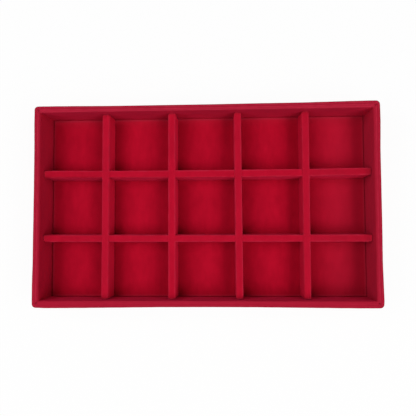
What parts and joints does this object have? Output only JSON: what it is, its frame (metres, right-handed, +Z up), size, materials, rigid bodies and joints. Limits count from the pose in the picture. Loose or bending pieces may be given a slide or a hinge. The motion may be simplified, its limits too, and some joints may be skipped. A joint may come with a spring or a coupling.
{
  "type": "jewelry display tray",
  "caption": "Open rectangular tray covered in red velvet, with a raised rim and a loose grid of low velvet dividers that makes rows of square compartments for jewellery.",
  "frame": {"origin": "under the middle of the tray, on the surface that it stands on", "axes": "+X to the right along the tray's length, +Y to the back across its width, +Z up out of its open side"},
  "size_m": [0.35, 0.205, 0.04],
  "materials": {
    "velvet": "red short-pile velvet, matt with a soft sheen along its edges",
    "board": "raw fibreboard, matt",
    "card": "grey board, matt",
    "underside_paper": "black card with a fine leathery grain, matt"
  },
  "bodies": {
    "tray": {"underside_card": "underside_paper", "base_board": "board", "front_rail": "board", "right_rail": "board", "back_rail": "board", "left_rail": "board", "front_wall_velvet": "velvet", "right_wall_velvet": "velvet", "back_wall_velvet": "velvet", "left_wall_velvet": "velvet", "floor_card": "card", "floor_velvet": "velvet"},
    "divider_grid": {"short_divider_1_board": "board", "short_divider_2_board": "board", "short_divider_3_board": "board", "short_divider_4_board": "board", "long_divider_1_board": "board", "long_divider_2_board": "board", "short_divider_1_velvet": "velvet", "short_divider_2_velvet": "velvet", "short_divider_3_velvet": "velvet", "short_divider_4_velvet": "velvet", "long_divider_1_velvet": "velvet", "long_divider_2_velvet": "velvet"}
  },
  "joints": [
    {"name": "divider_grid_lift", "type": "slide", "parent": "tray", "child": "divider_grid", "axis": [0, 0, 1], "range_m": [0, 0.045]}
  ]
}
